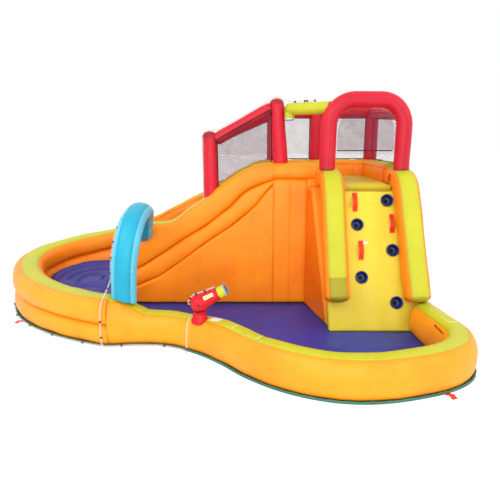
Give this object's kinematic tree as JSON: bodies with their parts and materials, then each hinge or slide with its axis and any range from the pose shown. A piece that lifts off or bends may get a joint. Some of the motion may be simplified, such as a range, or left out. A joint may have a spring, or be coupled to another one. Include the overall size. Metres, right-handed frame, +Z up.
{
  "type": "inflatable water park",
  "caption": "Inflatable lazy river: two joined pools and a river channel, with a slide tower, climbing wall, spray arch and water cannon.",
  "frame": {"origin": "on the ground, under the middle of the bounding box", "axes": "+X along the length from the left pool to the right pool, +Y from the front rim to the tower's back wall, +Z up"},
  "size_m": [4.9974, 3.7192, 2.4499],
  "materials": {
    "amber": "coated woven polyester, satin",
    "arch_blue": "coated woven polyester, satin",
    "black": "moulded plastic, satin",
    "hem_green": "coated woven polyester, matte",
    "lime": "coated woven polyester, satin",
    "navy": "moulded soft plastic, satin",
    "net_grey": "knitted black safety net",
    "orange": "coated woven polyester, satin",
    "pool_blue": "vinyl-coated polyester, glossy",
    "red": "coated woven polyester, satin",
    "scarlet": "woven webbing, matte",
    "tube_white": "translucent soft vinyl tube",
    "yellow": "coated woven polyester, satin"
  },
  "bodies": {
    "park": {"air_sleeve": "orange", "arch_tube": "tube_white", "back_left_post": "red", "back_net_left": "net_grey", "back_net_right": "net_grey", "back_rail": "red", "back_right_post": "red", "back_slide_net": "net_grey", "back_slide_post": "red", "back_slide_rail": "red", "back_wall": "orange", "cannon_pedestal": "red", "climb_left_side": "orange", "climb_panel": "yellow", "climb_right_side": "orange", "corner_post": "red", "deck": "yellow", "door_arch": "red", "foothold_1": "navy", "foothold_2": "navy", "foothold_3": "navy", "foothold_4": "navy", "foothold_5": "navy", "ground_sheet": "hem_green", "handle_1": "scarlet", "handle_2": "scarlet", "handle_3": "scarlet", "handle_4": "scarlet", "hose_inlet": "black", "landing_cushion": "pool_blue", "left_bolster": "orange", "left_lower_tube": "amber", "left_upper_tube": "amber", "right_bolster": "orange", "right_net": "net_grey", "right_rail": "red", "right_rim_tube": "amber", "right_wall": "orange", "river_floor": "pool_blue", "slide_bed": "pool_blue", "slide_lower_panel": "orange", "slide_middle_tube": "orange", "slide_net": "net_grey", "slide_post": "red", "slide_rail": "red", "slide_upper_tube": "orange", "spray_arch": "arch_blue", "sprayer_arm": "lime", "supply_tube": "tube_white", "top_tube": "tube_white", "tower_front_band": "orange", "tower_front_panel": "orange", "tower_web": "orange"},
    "cannon_turret": {"cannon_collar": "red"},
    "cannon_gun": {"cannon_barrel": "red", "cannon_nozzle": "lime", "cannon_tube": "tube_white"},
    "coupling_nut": {"hose_nut": "black"},
    "curtain": {"door_curtain": "net_grey"},
    "zip_runner": {"zip_slider": "black"}
  },
  "joints": [
    {"name": "cannon_pan", "type": "hinge", "parent": "park", "child": "cannon_turret", "pos_m": [0.02709, -0.91973, 0.478], "axis": [0, 0, 1], "range_deg": [-70, 70]},
    {"name": "cannon_tilt", "type": "hinge", "parent": "cannon_turret", "child": "cannon_gun", "pos_m": [0.02709, -0.91973, 0.478], "axis": [0, -1, 0], "range_deg": [-25, 30]},
    {"name": "nut_turn", "type": "hinge", "parent": "park", "child": "coupling_nut", "pos_m": [-2.47199, 1.0047, 0.0196], "axis": [0.17, 0.9854, 0], "continuous": true},
    {"name": "curtain_swing", "type": "hinge", "parent": "park", "child": "curtain", "pos_m": [1.73209, 0.08027, 2.264], "axis": [1, 0, 0], "range_deg": [-15, 60]},
    {"name": "zip_run", "type": "slide", "parent": "park", "child": "zip_runner", "axis": [0, -1, 0], "range_m": [0, 0.14]}
  ]
}
